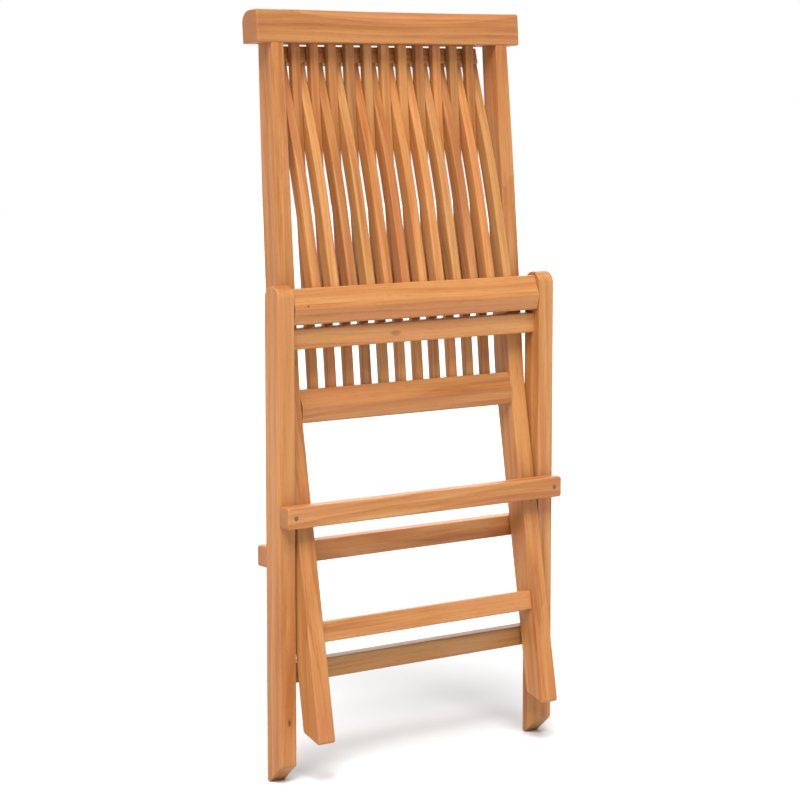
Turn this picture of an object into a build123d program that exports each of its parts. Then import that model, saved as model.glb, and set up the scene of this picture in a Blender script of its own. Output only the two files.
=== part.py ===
"""Slatted wooden folding chair, modelled folded and upright.

Millimetres. +Z is up, -Y is the front of the chair and +X is to the right as seen from the front.
The origin is on the floor, under the middle of the folded chair's box. The chair has three moving
groups: the back frame (long bent legs with the back between them), the rear leg frame (short
straight legs outside the long ones) and the seat, whose rear rail slides behind the back slats.
"""
from build123d import *
import math
import os

os.makedirs("parts", exist_ok=True)

# ---------------------------------------------------------------- driving dimensions
overall_width = 470.0

# rear legs: short, straight, upright when the chair is folded
rear_leg_y = -18.716
rear_leg_width = 26.0
rear_leg_depth = 33.0
rear_leg_length = 666.0
rear_foot_rise = 29.0
rear_toe_radius = 4.0
rear_heel_radius = 6.0

# fold axis of the crossing legs, and seat axis in the tops of the rear legs
pivot_z = 333.0
seat_axis_z = rear_leg_length - rear_leg_depth / 2

# front legs: long bent boards that carry the back
side_gap = 2.7
front_leg_width = 26.3
front_leg_depth = 36.5
stile_depth = 32.0
stile_top_width = 20.0
lower_lean = 0.172
upper_lean = 0.0737
bend_z = 519.0
lean_reference_y = -16.1
lean_reference_z = 347.5
front_foot_z = 58.5
front_foot_rise = 12.3
stile_top_z = 982.0

# slats of the back and of the seat: same width and pitch, half a pitch apart
slat_width = 14.0
slat_pitch = 29.6
back_slat_count = 11
seat_slat_count = 12
back_slat_depth = 10.0
seat_slat_depth = 18.0

# bars on the faces of the rear legs, which stop the long legs when folded
stop_bar_height = 29.0
stop_bar_thickness = 20.0
stop_bar_corner_radius = 4.0
front_stop_bar_z = 362.0
rear_stop_bar_z = 304.0

# hardware
pin_radius = 4.0
running_clearance = 0.05
pin_grip = 16.0
pin_reach = 17.5
washer_radius = 10.0
screw_radius = 2.25
screw_head_radius = 3.5
screw_head_height = 3.0
screw_length = 42.0
plug_depth = 5.0

# edges and joints
arris_radius = 2.0
slat_arris_radius = 1.8
tenon_length = 14.0
tenon_shoulder = 4.0
pin_chamfer = 0.6
washer_play = 0.3
washer_thickness = 0.8
long_edge = 150.0
cut_reach = 200.0

# ---------------------------------------------------------------- derived dimensions
rear_outer_x = overall_width / 2
rear_inner_x = rear_outer_x - rear_leg_width
rear_centre_x = rear_outer_x - rear_leg_width / 2
front_outer_x = rear_inner_x - side_gap
front_inner_x = front_outer_x - front_leg_width
rear_face = rear_leg_depth / 2
rear_top_radius = rear_face - 0.05
# the sharp corner that the rounded toe is cut from lies this far below the floor
foot_cut_length = math.hypot(rear_foot_rise, rear_leg_depth)
rear_toe_drop = rear_toe_radius * ((foot_cut_length + rear_foot_rise) / rear_leg_depth - 1)
bend_y = lean_reference_y + (bend_z - lean_reference_z) * lower_lean
upper_angle = math.degrees(math.atan(upper_lean))


def front_leg_face(z):
    """Depth of the long leg's front face at height z, from the rear legs' middle plane."""
    if z < bend_z:
        return bend_y - (bend_z - z) * lower_lean
    return bend_y + (z - bend_z) * upper_lean


def side_plane(x):
    """Side view at x: local x runs back from the rear legs' middle plane, local y runs up."""
    return Plane(origin=(x, rear_leg_y, 0), x_dir=(0, 1, 0), z_dir=(1, 0, 0))


def save(piece, name):
    """Label a finished piece and write it."""
    piece.part.label = name
    export_step(piece.part, f"parts/{name}.step")


def long_edges(builder, length):
    """Edges of the piece being built that are longer than length."""
    return builder.edges().filter_by(lambda edge: edge.length > length)


def rail_between(half_length, outline, corner_radii, tenon):
    """A rail along X with rounded section corners and a tenon on each end.

    outline is the side section, tenon is (centre y, centre z, depth, height, tilt).
    """
    tenon_y, tenon_z, tenon_depth, tenon_height, tilt = tenon
    with BuildPart() as rail:
        with BuildSketch(side_plane(0)):
            with BuildLine():
                FilletPolyline(*outline, radius=corner_radii, close=True)
            make_face()
        extrude(amount=half_length, both=True)
        with BuildSketch(side_plane(0)):
            with Locations((tenon_y, tenon_z)):
                Rectangle(tenon_depth, tenon_height, rotation=tilt)
        extrude(amount=half_length + tenon_length, both=True)
    return rail


# ================================================================ back frame
# ---------------------------------------------------------------- back slats
back_slat_line = [(23.6, 506.0), (38.0, 655.0), (53.8, 820.0), (64.6, 955.0), (66.9, 991.0)]

back_slats = []
for index in range(back_slat_count):
    slat_x = (index - (back_slat_count - 1) / 2) * slat_pitch
    with BuildPart() as back_slat:
        with BuildSketch(side_plane(slat_x)):
            with BuildLine():
                front = Spline(*back_slat_line)
                back = Spline(*[(y + back_slat_depth, z - upper_lean * back_slat_depth)
                                for y, z in back_slat_line])
                Line(front @ 0, back @ 0)
                Line(front @ 1, back @ 1)
            make_face()
        extrude(amount=slat_width / 2, both=True)
        fillet(long_edges(back_slat, long_edge), slat_arris_radius)
    back_slats.append(back_slat)
    save(back_slat, f"back_slat_{index + 1:02d}")

# ---------------------------------------------------------------- lower back rail
lower_back_outline = [
    (8.5, 479.5),
    (7.5, 500.0),
    (17.5, 524.0),
    (40.5, 521.0),
    (38.0, 483.0),
    (35.0, 479.5),
]
lower_back_tenon = (24.0, 500.0, 16.0, 30.0, -upper_angle)
lower_back_corner_radius = 2.5

lower_back_rail = rail_between(front_inner_x, lower_back_outline, lower_back_corner_radius,
                               lower_back_tenon)
with lower_back_rail:
    for slat in back_slats:
        add(slat.part, mode=Mode.SUBTRACT)
save(lower_back_rail, "lower_back_rail")

# ---------------------------------------------------------------- front stretcher
stretcher_lean = math.degrees(math.atan(lower_lean))
front_stretcher_z = 203.0
front_stretcher_height = 27.0
front_stretcher_depth = 20.0
front_stretcher_setback = 5.0
front_stretcher_y = front_leg_face(front_stretcher_z) + front_stretcher_setback + front_stretcher_depth / 2

with BuildPart() as front_stretcher:
    with BuildSketch(side_plane(0)):
        with Locations((front_stretcher_y, front_stretcher_z)):
            RectangleRounded(front_stretcher_depth, front_stretcher_height, arris_radius,
                             rotation=-stretcher_lean)
    extrude(amount=front_inner_x, both=True)
    with BuildSketch(side_plane(0)):
        with Locations((front_stretcher_y, front_stretcher_z)):
            Rectangle(front_stretcher_depth - 2 * tenon_shoulder,
                      front_stretcher_height - 2 * tenon_shoulder, rotation=-stretcher_lean)
    extrude(amount=front_inner_x + tenon_length, both=True)
save(front_stretcher, "front_stretcher")

# ---------------------------------------------------------------- front legs with stiles
foot_front_y = front_leg_face(front_foot_z)
foot_back_y = front_leg_face(front_foot_z + front_foot_rise) + front_leg_depth
top_front_y = front_leg_face(stile_top_z)
leg_outline = [
    (foot_front_y, front_foot_z),
    (bend_y, bend_z),
    (top_front_y, stile_top_z),
    (top_front_y + stile_depth, stile_top_z - stile_depth * upper_lean),
    (bend_y + (stile_depth + front_leg_depth) / 2, bend_z),
    (foot_back_y, front_foot_z + front_foot_rise),
]
bend_radius = 700.0
leg_corner_radii = [4.0, bend_radius, 0, 0, bend_radius, 5.0]
stile_tenon_height = 24.0
stile_tenon_depth = 14.0
stile_tenon_width = 11.0

with BuildPart() as right_front_leg:
    with BuildSketch(side_plane(front_inner_x)):
        with BuildLine():
            FilletPolyline(*leg_outline, radius=leg_corner_radii, close=True)
        make_face()
    extrude(amount=front_leg_width)
    # the stile's outer face draws in towards the top
    with BuildSketch(Plane.XZ):
        with BuildLine():
            taper = TangentArc((front_outer_x, bend_z), (front_inner_x + stile_top_width, stile_top_z + 1),
                               tangent=(0, 1))
            Polyline(taper @ 1, (front_inner_x - 1, stile_top_z + 1), (front_inner_x - 1, 0),
                     (front_outer_x, 0), taper @ 0)
        make_face()
    extrude(amount=cut_reach, both=True, mode=Mode.INTERSECT)
    fillet(long_edges(right_front_leg, long_edge), arris_radius)
    # tenon into the crest rail
    with BuildSketch(side_plane(front_inner_x + (stile_top_width - stile_tenon_width) / 2)):
        with Locations((top_front_y + stile_depth / 2, stile_top_z)):
            Rectangle(stile_tenon_depth, 2 * stile_tenon_height, rotation=-upper_angle)
    extrude(amount=stile_tenon_width)
    add(lower_back_rail.part, mode=Mode.SUBTRACT)
    add(front_stretcher.part, mode=Mode.SUBTRACT)
    # blind bore that grips the leg pivot pin
    with BuildSketch(side_plane(front_outer_x - pin_grip)):
        with Locations((0, pivot_z)):
            Circle(pin_radius)
    extrude(amount=pin_grip + 1, mode=Mode.SUBTRACT)
save(right_front_leg, "right_front_leg")

with BuildPart() as left_front_leg:
    add(right_front_leg.part.mirror(Plane.YZ))
save(left_front_leg, "left_front_leg")

# ---------------------------------------------------------------- crest rail
crest_half_length = 222.0
crest_depth = 36.0
crest_height = 43.5
crest_back_radius = 17.0
crest_end_radius = 2.5
crest_corner_radii = [2.0, 3.0, crest_back_radius, 2.0]
crest_front_y = 46.8
scoop_drop = 16.7
scoop_setback = 12.0
scoop_centre_x = 30.0
scoop_radius = 2300.0

crest_base_z = stile_top_z - (crest_front_y - top_front_y) * upper_lean
crest_lean = math.radians(upper_angle)
crest_base = Plane(origin=(0, rear_leg_y + crest_front_y, crest_base_z),
                   x_dir=(0, math.cos(crest_lean), -math.sin(crest_lean)), z_dir=(1, 0, 0))
crest_up = crest_base.y_dir
crest_back = crest_base.x_dir
scoop_length = math.hypot(scoop_drop, scoop_setback)
scoop_axis = (crest_up * scoop_drop + crest_back * scoop_setback) / scoop_length
scoop_start = crest_base.origin + crest_up * (crest_height - scoop_drop) + Vector(scoop_centre_x, 0, 0)
scoop_plane = Plane(origin=scoop_start, x_dir=(1, 0, 0), z_dir=scoop_axis)

with BuildPart() as crest_rail:
    with BuildSketch(crest_base):
        with BuildLine():
            FilletPolyline((0, 0), (0, crest_height), (crest_depth, crest_height), (crest_depth, 0),
                           radius=crest_corner_radii, close=True)
        make_face()
    extrude(amount=crest_half_length, both=True)
    fillet(crest_rail.faces().sort_by(Axis.X)[-1].edges(), crest_end_radius)
    fillet(crest_rail.faces().sort_by(Axis.X)[0].edges(), crest_end_radius)
    # a shallow hollow dressed into the upper front, lowest a little to one side of the middle
    with BuildSketch(scoop_plane):
        with Locations((0, -scoop_radius)):
            Circle(scoop_radius)
    extrude(amount=cut_reach, both=True, mode=Mode.SUBTRACT)
    add(right_front_leg.part, mode=Mode.SUBTRACT)
    add(left_front_leg.part, mode=Mode.SUBTRACT)
    for slat in back_slats:
        add(slat.part, mode=Mode.SUBTRACT)
save(crest_rail, "crest_rail")

# ---------------------------------------------------------------- leg pivot pins and washers
with BuildPart() as pivot_pins:
    for side in (-1, 1):
        with BuildSketch(side_plane(side * (front_outer_x - pin_grip))):
            with Locations((0, pivot_z)):
                Circle(pin_radius)
        extrude(amount=side * (pin_grip + side_gap + pin_reach))
    chamfer(pivot_pins.edges().filter_by(GeomType.CIRCLE), pin_chamfer)
save(pivot_pins, "pivot_pins")

with BuildPart() as pivot_washers:
    for side in (-1, 1):
        with BuildSketch(side_plane(side * front_outer_x)):
            with Locations((0, pivot_z)):
                Circle(washer_radius)
                Circle(pin_radius + running_clearance, mode=Mode.SUBTRACT)
        extrude(amount=side * (side_gap - washer_play))
save(pivot_washers, "pivot_washers")

# ================================================================ rear leg frame
# ---------------------------------------------------------------- rail under the seat's front rail
leg_top_rail_outline = [(-3.7, 580.0), (-3.7, 607.8), (14.5, 607.8), (14.5, 580.0)]
leg_top_rail_tenon = (5.4, 592.6, 10.0, 17.0, 0.0)
leg_top_rail = rail_between(rear_inner_x, leg_top_rail_outline, arris_radius, leg_top_rail_tenon)
save(leg_top_rail, "leg_top_rail")

# ---------------------------------------------------------------- low stretcher of the rear legs
rear_stretcher_outline = [(-9.5, 134.5), (-9.5, 162.0), (10.5, 162.0), (10.5, 134.5)]
rear_stretcher_tenon = (0.5, 148.2, 11.0, 19.0, 0.0)
rear_stretcher = rail_between(rear_inner_x, rear_stretcher_outline, arris_radius, rear_stretcher_tenon)
save(rear_stretcher, "rear_stretcher")

# ---------------------------------------------------------------- screws, bars and plugs
bar_faces = ((-1, front_stop_bar_z), (1, rear_stop_bar_z))


def face_plane(facing, depth):
    """Plane facing the front (-1) or rear (1), depth below the stop bars' outer faces."""
    y = rear_leg_y + facing * (rear_face + stop_bar_thickness - depth)
    return Plane(origin=(0, y, 0), x_dir=(-facing, 0, 0), z_dir=(0, facing, 0))


with BuildPart() as stop_bar_plugs:
    for facing, bar_z in bar_faces:
        with BuildSketch(face_plane(facing, 0.0)):
            with Locations((rear_centre_x, bar_z), (-rear_centre_x, bar_z)):
                Circle(screw_head_radius)
        extrude(amount=-plug_depth)
save(stop_bar_plugs, "stop_bar_plugs")

with BuildPart() as stop_bar_screws:
    for facing, bar_z in bar_faces:
        with BuildSketch(face_plane(facing, plug_depth)):
            with Locations((rear_centre_x, bar_z), (-rear_centre_x, bar_z)):
                Circle(screw_head_radius)
        extrude(amount=-screw_head_height)
        with BuildSketch(face_plane(facing, plug_depth)):
            with Locations((rear_centre_x, bar_z), (-rear_centre_x, bar_z)):
                Circle(screw_radius)
        extrude(amount=-screw_length)
save(stop_bar_screws, "stop_bar_screws")

for facing, bar_z in bar_faces:
    with BuildPart() as stop_bar:
        with BuildSketch(face_plane(facing, 0.0)):
            with Locations((0, bar_z)):
                RectangleRounded(overall_width, stop_bar_height, stop_bar_corner_radius)
        extrude(amount=-stop_bar_thickness)
        fillet(stop_bar.faces().sort_by(Axis.Y)[0].edges(), arris_radius)
        fillet(stop_bar.faces().sort_by(Axis.Y)[-1].edges(), arris_radius)
        add(stop_bar_plugs.part, mode=Mode.SUBTRACT)
        add(stop_bar_screws.part, mode=Mode.SUBTRACT)
    save(stop_bar, "front_stop_bar" if facing < 0 else "rear_stop_bar")

# ---------------------------------------------------------------- rear legs
rear_leg_outline = [
    (-rear_face, rear_foot_rise - rear_toe_drop),
    (-rear_face, rear_leg_length),
    (rear_face, rear_leg_length),
    (rear_face, -rear_toe_drop),
]
rear_leg_radii = [rear_heel_radius, rear_top_radius, rear_top_radius, rear_toe_radius]
seat_bore_depth = pin_reach + 1.0

with BuildPart() as right_rear_leg:
    with BuildSketch(side_plane(rear_inner_x)):
        with BuildLine():
            FilletPolyline(*rear_leg_outline, radius=rear_leg_radii, close=True)
        make_face()
    extrude(amount=rear_leg_width)
    fillet(right_rear_leg.faces().sort_by(Axis.X)[0].edges(), arris_radius)
    fillet(right_rear_leg.faces().sort_by(Axis.X)[-1].edges(), arris_radius)
    add(leg_top_rail.part, mode=Mode.SUBTRACT)
    add(rear_stretcher.part, mode=Mode.SUBTRACT)
    add(stop_bar_screws.part, mode=Mode.SUBTRACT)
    # blind running bores for the leg pivot pin and the seat pin
    with BuildSketch(side_plane(rear_inner_x - 1)):
        with Locations((0, pivot_z), (0, seat_axis_z)):
            Circle(pin_radius + running_clearance)
    extrude(amount=seat_bore_depth + 1, mode=Mode.SUBTRACT)
save(right_rear_leg, "right_rear_leg")

with BuildPart() as left_rear_leg:
    add(right_rear_leg.part.mirror(Plane.YZ))
save(left_rear_leg, "left_rear_leg")

# ================================================================ seat
# ---------------------------------------------------------------- seat slats
seat_slat_line = [(-4.2, 652.0), (15.8, 745.0), (38.0, 833.0), (64.5, 915.0), (79.6, 967.0)]
seat_lean = 0.262

seat_slats = []
for index in range(seat_slat_count):
    slat_x = (index - (seat_slat_count - 1) / 2) * slat_pitch
    with BuildPart() as seat_slat:
        with BuildSketch(side_plane(slat_x)):
            with BuildLine():
                front = Spline(*seat_slat_line)
                back = Spline(*[(y + seat_slat_depth, z - seat_lean * seat_slat_depth)
                                for y, z in seat_slat_line])
                Line(front @ 0, back @ 0)
                Line(front @ 1, back @ 1)
            make_face()
        extrude(amount=slat_width / 2, both=True)
        fillet(long_edges(seat_slat, long_edge), slat_arris_radius)
    seat_slats.append(seat_slat)
    save(seat_slat, f"seat_slat_{index + 1:02d}")

# ---------------------------------------------------------------- seat front rail
seat_rail_half = rear_inner_x - washer_play - washer_thickness
seat_front_outline = [
    (-17.2, 634.0),
    (-6.0, 661.5),
    (17.5, 657.5),
    (14.0, 640.0),
    (9.0, 613.0),
    (-12.5, 613.0),
]
seat_front_corner_radii = [3.0, 3.0, 2.5, 8.0, 4.0, 4.0]

with BuildPart() as seat_front_rail:
    with BuildSketch(side_plane(0)):
        with BuildLine():
            FilletPolyline(*seat_front_outline, radius=seat_front_corner_radii, close=True)
        make_face()
    extrude(amount=seat_rail_half, both=True)
    for slat in seat_slats:
        add(slat.part, mode=Mode.SUBTRACT)
    for side in (-1, 1):
        with BuildSketch(side_plane(side * (seat_rail_half - pin_grip))):
            with Locations((0, seat_axis_z)):
                Circle(pin_radius)
        extrude(amount=side * (pin_grip + 1), mode=Mode.SUBTRACT)
save(seat_front_rail, "seat_front_rail")

# ---------------------------------------------------------------- seat rear rail
seat_rear_size = 22.5
seat_rear_y = 89.0
seat_rear_z = 964.5
seat_rear_corner_radius = 2.5
seat_rear_half = (seat_slat_count - 1) / 2 * slat_pitch + slat_width / 2
seat_lean_angle = math.degrees(math.atan(seat_lean))

with BuildPart() as seat_rear_rail:
    with BuildSketch(side_plane(0)):
        with Locations((seat_rear_y, seat_rear_z)):
            RectangleRounded(seat_rear_size, seat_rear_size, seat_rear_corner_radius,
                             rotation=-seat_lean_angle)
    extrude(amount=seat_rear_half, both=True)
    for slat in seat_slats:
        add(slat.part, mode=Mode.SUBTRACT)
save(seat_rear_rail, "seat_rear_rail")

# ---------------------------------------------------------------- seat pins and washers
with BuildPart() as seat_pins:
    for side in (-1, 1):
        with BuildSketch(side_plane(side * (seat_rail_half - pin_grip))):
            with Locations((0, seat_axis_z)):
                Circle(pin_radius)
        extrude(amount=side * (pin_grip + washer_thickness + washer_play + pin_reach))
    chamfer(seat_pins.edges().filter_by(GeomType.CIRCLE), pin_chamfer)
save(seat_pins, "seat_pins")

with BuildPart() as seat_washers:
    for side in (-1, 1):
        with BuildSketch(side_plane(side * seat_rail_half)):
            with Locations((0, seat_axis_z)):
                Circle(washer_radius)
                Circle(pin_radius + running_clearance, mode=Mode.SUBTRACT)
        extrude(amount=side * washer_thickness)
save(seat_washers, "seat_washers")
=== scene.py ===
"""Looks of the slatted wooden folding chair: oiled teak with grain along every member, steel and brass."""
import math
import random

import bpy
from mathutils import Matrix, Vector

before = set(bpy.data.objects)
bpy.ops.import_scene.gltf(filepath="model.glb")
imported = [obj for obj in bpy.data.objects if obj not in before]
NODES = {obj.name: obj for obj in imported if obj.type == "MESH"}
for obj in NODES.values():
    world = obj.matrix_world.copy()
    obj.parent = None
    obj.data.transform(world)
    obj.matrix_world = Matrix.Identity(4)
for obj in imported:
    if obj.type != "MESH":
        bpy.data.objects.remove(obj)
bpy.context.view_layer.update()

scene = bpy.context.scene


# ---------------------------------------------------------------- camera
CAMERA_PLACE = (-2.0893, -2.7532, 0.9201)
CAMERA_YAW = 0.6468
CAMERA_PITCH = 0.1218
CAMERA_LENS_MM = 114.1
SENSOR_MM = 36.0
CAMERA_REACH = 60.0

camera_data = bpy.data.cameras.new("camera")
camera_data.sensor_width = SENSOR_MM
camera_data.lens = CAMERA_LENS_MM
camera_data.clip_end = CAMERA_REACH
camera = bpy.data.objects.new("camera", camera_data)
scene.collection.objects.link(camera)
camera.location = CAMERA_PLACE
looking = Vector((
    math.sin(CAMERA_YAW) * math.cos(CAMERA_PITCH),
    math.cos(CAMERA_YAW) * math.cos(CAMERA_PITCH),
    -math.sin(CAMERA_PITCH),
))
camera.rotation_mode = "QUATERNION"
camera.rotation_quaternion = looking.to_track_quat("-Z", "Y")
scene.camera = camera
scene.view_settings.view_transform = "Standard"


# ---------------------------------------------------------------- node tree helpers
# sockets of a Mix node that is set to colours
MIX_AMOUNT = 0
MIX_FIRST = 6
MIX_SECOND = 7
MIX_RESULT = 2

# the span that most of a noise texture's values lie in
NOISE_SPAN = (0.3, 0.7)


class Tree:
    """Adds and links shader nodes of one material."""

    def __init__(self, name):
        self.material = bpy.data.materials.new(name)
        self.material.use_nodes = True
        self.nodes = self.material.node_tree.nodes
        self.links = self.material.node_tree.links
        self.shader = self.nodes["Principled BSDF"]

    def add(self, kind, inputs=None, **settings):
        """A node with its settings; inputs maps a socket to a value or to another node's output."""
        node = self.nodes.new(kind)
        for key, value in settings.items():
            setattr(node, key, value)
        for key, value in (inputs or {}).items():
            self.feed(node.inputs[key], value)
        return node

    def feed(self, socket, value):
        """Links the socket to value if that is another node's output, and sets it to value otherwise."""
        if isinstance(value, bpy.types.NodeSocket):
            self.links.new(value, socket)
        else:
            socket.default_value = value

    def math(self, operation, first, second=0.0):
        return self.add("ShaderNodeMath", {0: first, 1: second}, operation=operation).outputs[0]

    def weighted(self, *terms):
        """The sum of value times weight over the (value, weight) terms."""
        total = None
        for value, weight in terms:
            share = self.math("MULTIPLY", value, weight)
            total = share if total is None else self.math("ADD", total, share)
        return total

    def vector(self, operation, first, second):
        return self.add("ShaderNodeVectorMath", {0: first, 1: second}, operation=operation).outputs[0]

    def step(self, value, low, high, out_low=0.0, out_high=1.0):
        """value mapped smoothly from low..high to out_low..out_high, and held outside."""
        sockets = {"Value": value, "From Min": low, "From Max": high, "To Min": out_low, "To Max": out_high}
        return self.add("ShaderNodeMapRange", sockets, interpolation_type="SMOOTHSTEP").outputs[0]

    def noise(self, vector, scale, detail, roughness):
        sockets = {"Vector": vector, "Scale": scale, "Detail": detail, "Roughness": roughness}
        return self.add("ShaderNodeTexNoise", sockets).outputs[0]

    def stretched(self, vector, along):
        """vector with its third axis, the one along the grain, drawn out."""
        return self.add("ShaderNodeMapping", {"Vector": vector, "Scale": (1.0, 1.0, along)}).outputs[0]

    def ramp(self, value, stops):
        """The colour at value on a ramp through the (place, colour) stops."""
        node = self.add("ShaderNodeValToRGB", {0: value})
        elements = node.color_ramp.elements
        while len(elements) < len(stops):
            elements.new(0.5)
        for element, (place, colour) in zip(elements, stops):
            element.position = place
            element.color = (*colour, 1.0)
        return node.outputs[0]

    def mix(self, amount, first, second):
        sockets = {MIX_AMOUNT: amount, MIX_FIRST: first, MIX_SECOND: second}
        return self.add("ShaderNodeMix", sockets, data_type="RGBA").outputs[MIX_RESULT]

    def bumped(self, height, strength, distance):
        """Tilts the shader's normal by a height texture."""
        bump = self.add("ShaderNodeBump", {"Height": height, "Strength": strength, "Distance": distance})
        self.feed(self.shader.inputs["Normal"], bump.outputs[0])


# ---------------------------------------------------------------- teak
DARK_GRAIN = (0.255, 0.083, 0.020)
WARM_GRAIN = (0.325, 0.121, 0.031)
MID_GRAIN = (0.385, 0.162, 0.045)
LIGHT_GRAIN = (0.430, 0.209, 0.070)
PALE_GRAIN = (0.470, 0.249, 0.095)
ROSY_PATCH = (0.395, 0.148, 0.052)
STRAW_PATCH = (0.440, 0.212, 0.060)
PORE_COLOUR = (0.150, 0.052, 0.016, 1.0)
END_COLOUR = (0.270, 0.110, 0.036, 1.0)
KNOT_COLOUR = (0.060, 0.019, 0.006, 1.0)
TONE_STOPS = (
    (0.30, DARK_GRAIN),
    (0.42, WARM_GRAIN),
    (0.52, MID_GRAIN),
    (0.63, LIGHT_GRAIN),
    (0.78, PALE_GRAIN),
)

# each texture's fineness across the grain, and how much coarser it is along it (smaller is longer)
BAND_SCALE = 62.0
BAND_STRETCH = 0.035
STREAK_SCALE = 430.0
STREAK_STRETCH = 0.022
PORE_SCALE = 1500.0
PORE_STRETCH = 0.045
RING_SCALE = 30.0
RING_STRETCH = 0.05
PATCH_SCALE = 24.0
PATCH_STRETCH = 0.16
DRIFT_SCALE = 9.0
DRIFT_STRETCH = 0.35
END_RING_SCALE = 95.0

# how far apart the boards are cut from the textures, and how far the grain wanders, in metres
OFFSET_REACH = 4.0
SWAY = 0.014

BAND_WEIGHT = 0.55
STREAK_WEIGHT = 0.32
RING_WEIGHT = 0.14
REDDENING = (0.05, -0.07, -0.12)

# spans of a texture's value over which each feature comes in, and its strength there
ROSY_SPAN = (0.34, 0.48)
STRAW_SPAN = (0.52, 0.66)
PATCH_STRENGTH = 0.45
LINE_SPAN = (0.86, 0.97)
LINE_STRENGTH = 0.32
LINE_FADE_SPAN = (0.35, 0.60)
LINE_FADED = 0.25
PORE_SPAN = (0.61, 0.74)
PORE_STRENGTH = 0.40
END_SPAN = (0.62, 0.86)
END_STRENGTH = 0.75
KNOT_SPAN = (0.35, 1.0)
KNOT_RAGGEDNESS = 1.2
# reach, span and strength of the paler edges, which are partly wear and partly a painted highlight
EDGE_WEAR_AND_HIGHLIGHT_REACH = 0.0035
EDGE_WEAR_AND_HIGHLIGHT_SPAN = (0.45, 0.75)
EDGE_WEAR_AND_HIGHLIGHT_STRENGTH = 0.22

STREAK_ROUGHNESS = (0.56, 0.46)
PORE_ROUGHNESS = 0.25
TEAK_SPECULAR = 0.35


def grain_turn(grain):
    """Rotation that lays the unit vector grain along the third axis."""
    if abs(grain[0]) > 0.5:
        return (0.0, -math.pi / 2, 0.0)
    return (math.atan2(grain[1], grain[2]), 0.0, 0.0)


def wandering(tree, member):
    """member with a slow wander of the grain, so that streaks are not ruler straight."""
    drift = tree.add("ShaderNodeTexNoise", {"Vector": tree.stretched(member, DRIFT_STRETCH),
                                            "Scale": DRIFT_SCALE, "Detail": 1.0})
    centred = tree.vector("SUBTRACT", drift.outputs["Color"], (0.5, 0.5, 0.5))
    sway = tree.add("ShaderNodeVectorMath", {0: centred, "Scale": SWAY}, operation="SCALE").outputs[0]
    return tree.vector("ADD", member, sway)


def with_sawn_ends(tree, colour, place, member, grain, ring_colour):
    """colour, but rings instead of streaks where a face looks along the grain."""
    facing = tree.add("ShaderNodeVectorMath", {0: place.outputs["Normal"], 1: grain}, operation="DOT_PRODUCT")
    end_mask = tree.step(tree.math("ABSOLUTE", facing.outputs["Value"]), *END_SPAN)
    rings = tree.add("ShaderNodeTexWave",
                     {"Vector": member, "Scale": END_RING_SCALE, "Distortion": 1.5, "Detail": 2.0},
                     wave_type="RINGS", rings_direction="Z").outputs["Fac"]
    end_colour = tree.mix(rings, END_COLOUR, ring_colour)
    return tree.mix(tree.math("MULTIPLY", end_mask, END_STRENGTH), colour, end_colour)


def with_knots(tree, colour, place, turn, streaks, marks):
    """colour with a ragged dark knot or check at each mark."""
    for mark_place, mark_length, mark_width, strength in marks:
        apart = tree.vector("SUBTRACT", place.outputs["Object"], mark_place)
        turned = tree.add("ShaderNodeMapping", {"Vector": apart, "Rotation": turn}).outputs[0]
        sized = tree.vector("MULTIPLY", turned, (1 / mark_width, 1 / mark_width, 1 / mark_length))
        far = tree.add("ShaderNodeVectorMath", {0: sized}, operation="LENGTH").outputs["Value"]
        ragged = tree.math("MULTIPLY", tree.math("SUBTRACT", streaks, 0.5), KNOT_RAGGEDNESS)
        knot_mask = tree.step(tree.math("ADD", far, ragged), *KNOT_SPAN, strength, 0.0)
        colour = tree.mix(knot_mask, colour, KNOT_COLOUR)
    return colour


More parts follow.
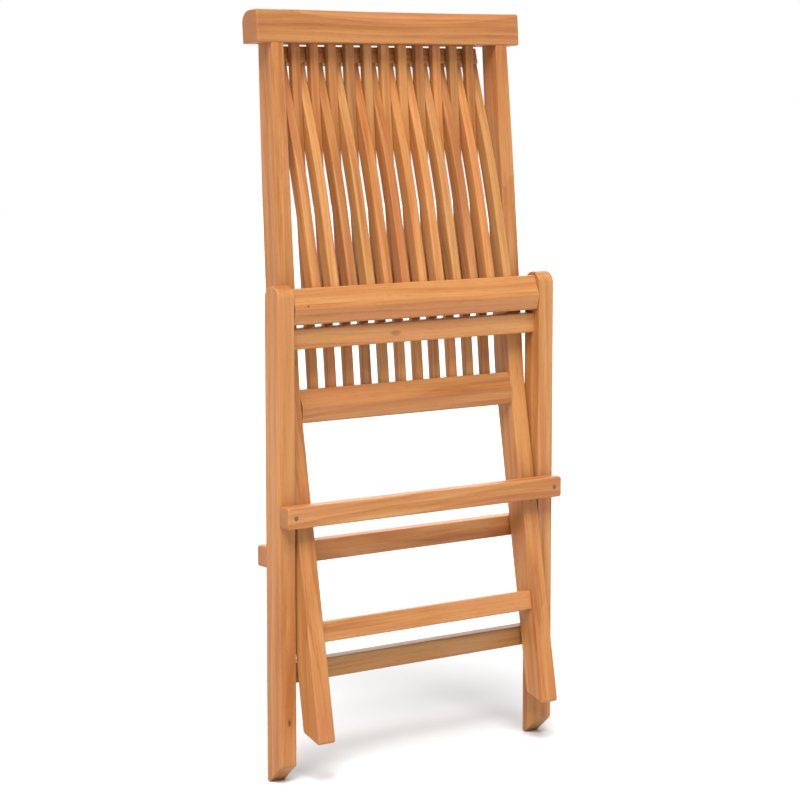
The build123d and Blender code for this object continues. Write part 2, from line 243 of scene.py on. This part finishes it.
def teak(name, grain, seed, shade, redness, marks):
    """Oiled teak whose grain runs along the unit vector grain, which lies in the YZ plane or along X.

    shade lightens or darkens the piece, redness warms it, and marks are small dark knots
    as (place, length along the grain, width, strength).
    """
    tree = Tree(name)
    draw = random.Random(seed)
    offset = tuple(draw.uniform(-OFFSET_REACH, OFFSET_REACH) for _ in range(3))
    turn = grain_turn(grain)
    place = tree.add("ShaderNodeTexCoord")
    member = tree.add("ShaderNodeMapping",
                      {"Vector": place.outputs["Object"], "Rotation": turn, "Location": offset}).outputs[0]
    wavy = wandering(tree, member)

    bands = tree.noise(tree.stretched(wavy, BAND_STRETCH), BAND_SCALE, 2.5, 0.55)
    streaks = tree.noise(tree.stretched(wavy, STREAK_STRETCH), STREAK_SCALE, 3.0, 0.6)
    pores = tree.noise(tree.stretched(wavy, PORE_STRETCH), PORE_SCALE, 1.5, 0.5)
    rings = tree.add("ShaderNodeTexWave",
                     {"Vector": tree.stretched(wavy, RING_STRETCH),
                      "Scale": RING_SCALE * draw.uniform(0.7, 1.4),
                      "Distortion": draw.uniform(2.0, 5.0), "Detail": 2.0, "Detail Scale": 1.2},
                     wave_type="BANDS", bands_direction=draw.choice(("X", "Y", "DIAGONAL")),
                     wave_profile="SAW").outputs["Fac"]
    tone = tree.weighted((bands, BAND_WEIGHT), (streaks, STREAK_WEIGHT), (rings, RING_WEIGHT))

    def tinted(colour):
        return tuple(min(1.0, channel * shade * (1.0 + share * redness))
                     for channel, share in zip(colour, REDDENING))

    colour = tree.ramp(tone, [(stop, tinted(stop_colour)) for stop, stop_colour in TONE_STOPS])

    # rosy and straw-coloured patches along the board
    patches = tree.noise(tree.stretched(member, PATCH_STRETCH), PATCH_SCALE, 2.0, 0.5)
    rosy_mask = tree.step(patches, *ROSY_SPAN, PATCH_STRENGTH, 0.0)
    colour = tree.mix(rosy_mask, colour, (*tinted(ROSY_PATCH), 1.0))
    straw_mask = tree.step(patches, *STRAW_SPAN, 0.0, PATCH_STRENGTH)
    colour = tree.mix(straw_mask, colour, (*tinted(STRAW_PATCH), 1.0))

    # thin dark lines at the edges of the rings, and the open pores between them
    line = tree.step(rings, *LINE_SPAN, 0.0, LINE_STRENGTH)
    line_mask = tree.math("MULTIPLY", line, tree.step(bands, *LINE_FADE_SPAN, 1.0, LINE_FADED))
    colour = tree.mix(line_mask, colour, (*tinted(DARK_GRAIN), 1.0))
    pore_mask = tree.step(pores, *PORE_SPAN, 0.0, PORE_STRENGTH)
    colour = tree.mix(pore_mask, colour, PORE_COLOUR)

    colour = with_sawn_ends(tree, colour, place, member, grain, (*tinted(WARM_GRAIN), 1.0))
    colour = with_knots(tree, colour, place, turn, streaks, marks)

    # edges a little paler: partly rubbed wear, partly a painted highlight along the rounded edges
    edge = tree.add("ShaderNodeAmbientOcclusion", {"Distance": EDGE_WEAR_AND_HIGHLIGHT_REACH}, inside=True, samples=6)
    worn_and_highlit_edges = tree.step(edge.outputs["AO"], *EDGE_WEAR_AND_HIGHLIGHT_SPAN, EDGE_WEAR_AND_HIGHLIGHT_STRENGTH, 0.0)
    colour = tree.mix(worn_and_highlit_edges, colour, (*tinted(PALE_GRAIN), 1.0))

    tree.feed(tree.shader.inputs["Base Color"], colour)
    rough = tree.math("ADD", tree.step(streaks, *NOISE_SPAN, *STREAK_ROUGHNESS),
                      tree.math("MULTIPLY", pore_mask, PORE_ROUGHNESS))
    tree.feed(tree.shader.inputs["Roughness"], rough)
    tree.shader.inputs["Specular IOR Level"].default_value = TEAK_SPECULAR
    height = tree.math("SUBTRACT", tree.math("MULTIPLY", streaks, 0.6), tree.math("MULTIPLY", pore_mask, 0.8))
    tree.bumped(height, 0.35, 0.0005)
    return tree.material


# ---------------------------------------------------------------- metal and plugs
DULL_SHARE = 0.62
PLUG_DARK = (0.070, 0.026, 0.011)
PLUG_PALE = (0.210, 0.090, 0.038)


def metal(name, colour, scale, roughness):
    """Metal with fine lines drawn along X and a few dull patches."""
    tree = Tree(name)
    place = tree.add("ShaderNodeTexCoord").outputs["Object"]
    drawn = tree.add("ShaderNodeMapping", {"Vector": place, "Scale": (0.05, 1.0, 1.0)}).outputs[0]
    lines = tree.noise(drawn, scale, 3.0, 0.6)
    patches = tree.noise(place, 240.0, 2.0, 0.5)
    dull = tuple(channel * DULL_SHARE for channel in colour)
    tree.feed(tree.shader.inputs["Base Color"], tree.ramp(patches, [(0.30, dull), (0.62, colour)]))
    tree.feed(tree.shader.inputs["Roughness"],
              tree.step(lines, *NOISE_SPAN, roughness - 0.08, roughness + 0.12))
    tree.shader.inputs["Metallic"].default_value = 1.0
    tree.bumped(lines, 0.2, 0.0002)
    return tree.material


def plug_wood(name):
    """Dark end grain of the plugs over the screws."""
    tree = Tree(name)
    place = tree.add("ShaderNodeTexCoord").outputs["Object"]
    specks = tree.noise(place, 1400.0, 3.0, 0.6)
    rings = tree.add("ShaderNodeTexWave", {"Vector": place, "Scale": 160.0, "Distortion": 3.0, "Detail": 2.0},
                     wave_type="BANDS", bands_direction="Z").outputs["Fac"]
    tone = tree.weighted((specks, 0.6), (rings, 0.4))
    tree.feed(tree.shader.inputs["Base Color"], tree.ramp(tone, [(0.25, PLUG_DARK), (0.75, PLUG_PALE)]))
    tree.feed(tree.shader.inputs["Roughness"], tree.step(specks, *NOISE_SPAN, 0.75, 0.60))
    tree.bumped(specks, 0.3, 0.0003)
    return tree.material


# ---------------------------------------------------------------- which piece gets what
def leaning(lean):
    """Unit vector up the chair that runs back by lean for each unit of height."""
    length = math.hypot(1.0, lean)
    return (0.0, lean / length, 1.0 / length)


# the grain follows each kind of member; every other piece runs along X
ALONG_X = (1.0, 0.0, 0.0)
GRAIN_BY_KIND = {
    "rear_leg": leaning(0.0),
    "front_leg": leaning(0.115),
    "back_slat": leaning(0.090),
    "seat_slat": leaning(0.265),
}
STEEL = metal("steel", (0.62, 0.62, 0.64), 900.0, 0.30)
BRASS = metal("brass", (0.72, 0.52, 0.22), 700.0, 0.34)
PLUG = plug_wood("plug_wood")
FIXINGS = {
    "pivot_pins": STEEL,
    "seat_pins": STEEL,
    "stop_bar_screws": STEEL,
    "pivot_washers": BRASS,
    "seat_washers": BRASS,
    "stop_bar_plugs": PLUG,
}

# (shade, redness) of the large pieces; those of the others are drawn within these spans
SHADE = {
    "crest_rail": (0.88, 0.7),
    "left_rear_leg": (1.00, 0.3),
    "right_rear_leg": (1.00, 0.2),
    "left_front_leg": (0.96, 0.5),
    "right_front_leg": (0.96, 0.5),
    "seat_front_rail": (1.02, 0.1),
    "front_stop_bar": (0.98, 0.2),
}
SHADE_SPAN = (0.84, 1.12)
REDNESS_SPAN = (-0.35, 1.0)
MARKS = {
    "left_rear_leg": [((-0.2210, -0.0352, 0.0836), 0.008, 0.0030, 0.75)],
    "seat_front_rail": [((-0.1866, -0.0350, 0.6384), 0.003, 0.0020, 0.80),
                        ((0.1030, -0.0310, 0.6420), 0.034, 0.0009, 0.70)],
    "leg_top_rail": [((-0.0340, -0.0224, 0.5930), 0.011, 0.0050, 0.40)],
    "right_front_leg": [((0.1700, -0.0760, 0.1050), 0.055, 0.0045, 0.45)],
}
SEED_COUNT = 10000
seeds = random.Random(41)

for name in sorted(NODES):
    piece = NODES[name]
    if name in FIXINGS:
        finish = FIXINGS[name]
    else:
        grain = ALONG_X
        for kind, direction in GRAIN_BY_KIND.items():
            if kind in name:
                grain = direction
        seed = seeds.randrange(SEED_COUNT)
        shade, redness = seeds.uniform(*SHADE_SPAN), seeds.uniform(*REDNESS_SPAN)
        if name in SHADE:
            shade, redness = SHADE[name]
        finish = teak("teak_" + name, grain, seed, shade, redness, MARKS.get(name, ()))
    for slot in piece.material_slots:
        slot.material = finish


# ---------------------------------------------------------------- floor, world and lights
FLOOR_HALF = 14.0
FLOOR_COLOUR = (0.66, 0.66, 0.66, 1.0)
floor_mesh = bpy.data.meshes.new("floor")
floor_mesh.from_pydata(
    [(-FLOOR_HALF, -FLOOR_HALF, 0), (FLOOR_HALF, -FLOOR_HALF, 0), (FLOOR_HALF, FLOOR_HALF, 0),
     (-FLOOR_HALF, FLOOR_HALF, 0)], [], [(0, 1, 2, 3)])
floor = bpy.data.objects.new("floor", floor_mesh)
scene.collection.objects.link(floor)
floor_look = Tree("pale_floor")
floor_look.shader.inputs["Base Color"].default_value = FLOOR_COLOUR
floor_look.shader.inputs["Roughness"].default_value = 0.9
floor_look.shader.inputs["Specular IOR Level"].default_value = 0.1
floor_mesh.materials.append(floor_look.material)

# the world is bright in a band at the horizon and dimmer above it
BAND_TOP = 0.16
BAND_SOFTNESS = 0.22
HORIZON_STRENGTH = 1.0
DOME_STRENGTH = 0.33
world = bpy.data.worlds.new("studio")
world.use_nodes = True
scene.world = world
sky_nodes = world.node_tree.nodes
sky_links = world.node_tree.links
sky_place = sky_nodes.new("ShaderNodeTexCoord")
split = sky_nodes.new("ShaderNodeSeparateXYZ")
sky_links.new(sky_place.outputs["Generated"], split.inputs[0])
fade = sky_nodes.new("ShaderNodeMapRange")
fade.interpolation_type = "SMOOTHSTEP"
for socket, value in (("From Min", BAND_TOP), ("From Max", BAND_TOP + BAND_SOFTNESS),
                      ("To Min", HORIZON_STRENGTH), ("To Max", DOME_STRENGTH)):
    fade.inputs[socket].default_value = value
sky_links.new(split.outputs["Z"], fade.inputs["Value"])
background = sky_nodes["Background"]
background.inputs["Color"].default_value = (1.0, 1.0, 1.0, 1.0)
sky_links.new(fade.outputs[0], background.inputs["Strength"])


def soft_sun(name, towards, spread_degrees, strength):
    """A broad, even light that shines along towards."""
    data = bpy.data.lights.new(name, "SUN")
    data.angle = math.radians(spread_degrees)
    data.energy = strength
    light = bpy.data.objects.new(name, data)
    scene.collection.objects.link(light)
    light.rotation_mode = "QUATERNION"
    light.rotation_quaternion = Vector(towards).to_track_quat("-Z", "Y")


soft_sun("key", towards=(0.46, 0.56, -1.15), spread_degrees=35.0, strength=5.5)
soft_sun("back", towards=(-0.60, -0.60, -0.55), spread_degrees=50.0, strength=1.6)
